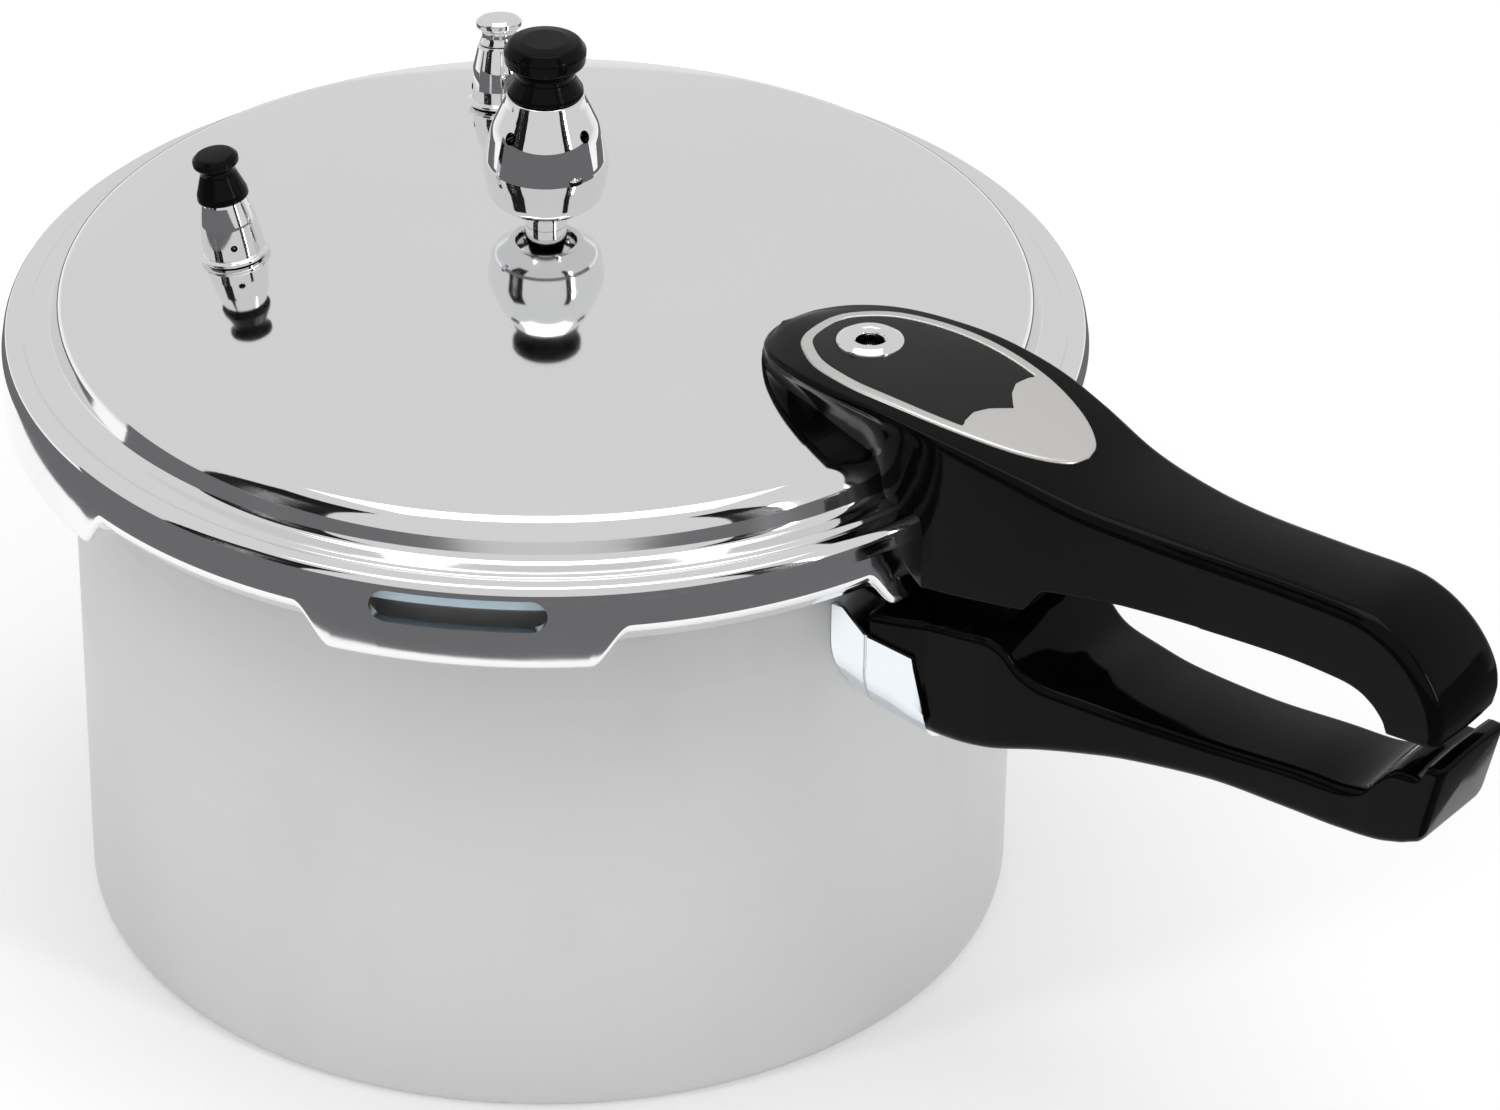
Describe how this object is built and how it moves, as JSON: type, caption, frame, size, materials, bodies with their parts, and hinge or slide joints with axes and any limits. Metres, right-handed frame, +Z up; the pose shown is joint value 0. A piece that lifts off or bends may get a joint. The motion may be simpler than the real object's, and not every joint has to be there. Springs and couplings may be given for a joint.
{
  "type": "stovetop pressure cooker",
  "caption": "Aluminium stovetop pressure cooker with a bayonet lid, paired black handles, a weighted pressure regulator and small spring valves.",
  "frame": {"origin": "centre of the pot's flat base, on the pot's axis", "axes": "+Z up along the pot's axis, +X from the axis towards the handles' tail"},
  "size_m": [0.381, 0.2504, 0.2168],
  "materials": {
    "pot_aluminium": "satin drawn aluminium, faintly brushed round the wall",
    "lid_aluminium": "mirror-polished aluminium",
    "guard_chrome": "bright chromed sheet",
    "bracket_steel": "plain stamped steel",
    "screw_steel": "zinc-plated steel",
    "strainer_steel": "pressed stainless steel",
    "spring_steel": "drawn spring wire",
    "rivet_aluminium": "plain aluminium",
    "handle_phenolic": "glossy black phenolic",
    "cap_phenolic": "glossy black phenolic",
    "badge_metal": "satin silver plate with a bright edge",
    "badge_inlay": "satin black",
    "valve_chrome": "bright chrome",
    "fitting_brass": "turned brass",
    "gasket_silicone": "blue-grey silicone",
    "washer_silicone": "translucent white silicone"
  },
  "bodies": {
    "pot": {"pot_body": "pot_aluminium", "pot_bracket": "bracket_steel", "pot_bracket_rivets": "rivet_aluminium", "heat_guard": "guard_chrome", "lower_handle": "handle_phenolic", "lower_handle_screw": "screw_steel", "lower_handle_nut": "screw_steel"},
    "gasket": {"lid_gasket": "gasket_silicone"},
    "lid": {"lid_shell": "lid_aluminium", "lid_bracket": "bracket_steel", "lid_bracket_rivets": "rivet_aluminium", "upper_handle": "handle_phenolic", "upper_handle_screws": "screw_steel", "handle_badge": "badge_metal", "badge_inlay": "badge_inlay", "float_eyelet": "valve_chrome", "float_guide": "fitting_brass", "float_guide_nut": "screw_steel", "vent_pipe": "valve_chrome", "vent_pipe_washer": "washer_silicone", "vent_pipe_nut": "screw_steel", "vent_strainer": "strainer_steel", "safety_valve_body": "valve_chrome", "safety_valve_washer": "washer_silicone", "safety_valve_nut": "screw_steel", "safety_valve_spring": "spring_steel", "exhaust_valve_body": "valve_chrome", "exhaust_valve_washer": "washer_silicone", "exhaust_valve_nut": "screw_steel", "exhaust_valve_spring": "spring_steel"},
    "regulator": {"regulator_weight": "valve_chrome", "regulator_needle": "fitting_brass", "regulator_cap": "cap_phenolic"},
    "safety_plunger": {"safety_valve_stem": "fitting_brass", "safety_valve_cap": "cap_phenolic"},
    "exhaust_plunger": {"exhaust_valve_stem": "fitting_brass", "exhaust_valve_knob": "valve_chrome"},
    "float": {"float_pin": "valve_chrome", "float_seal": "washer_silicone"}
  },
  "joints": [
    {"name": "lid_lift", "type": "slide", "parent": "pot", "child": "gasket", "axis": [0, 0, 1], "range_m": [0, 0.12]},
    {"name": "lid_twist", "type": "hinge", "parent": "gasket", "child": "lid", "pos_m": [0, 0, 0.1405], "axis": [0, 0, 1], "range_deg": [0, 30]},
    {"name": "regulator_lift", "type": "slide", "parent": "lid", "child": "regulator", "axis": [0, 0, 1], "range_m": [0, 0.03]},
    {"name": "safety_valve_lift", "type": "slide", "parent": "lid", "child": "safety_plunger", "axis": [-0.1143, -0.1047, 0.9879], "range_m": [0, 0.003], "stiffness_N_per_m": 900, "springref_m": -0.004, "deforming": ["safety_valve_spring"]},
    {"name": "exhaust_valve_lift", "type": "slide", "parent": "lid", "child": "exhaust_plunger", "axis": [-0.1143, 0.1047, 0.9879], "range_m": [0, 0.003], "stiffness_N_per_m": 900, "springref_m": -0.004, "deforming": ["exhaust_valve_spring"]},
    {"name": "float_rise", "type": "slide", "parent": "lid", "child": "float", "axis": [0, 0, 1], "range_m": [0, 0.0045]}
  ]
}
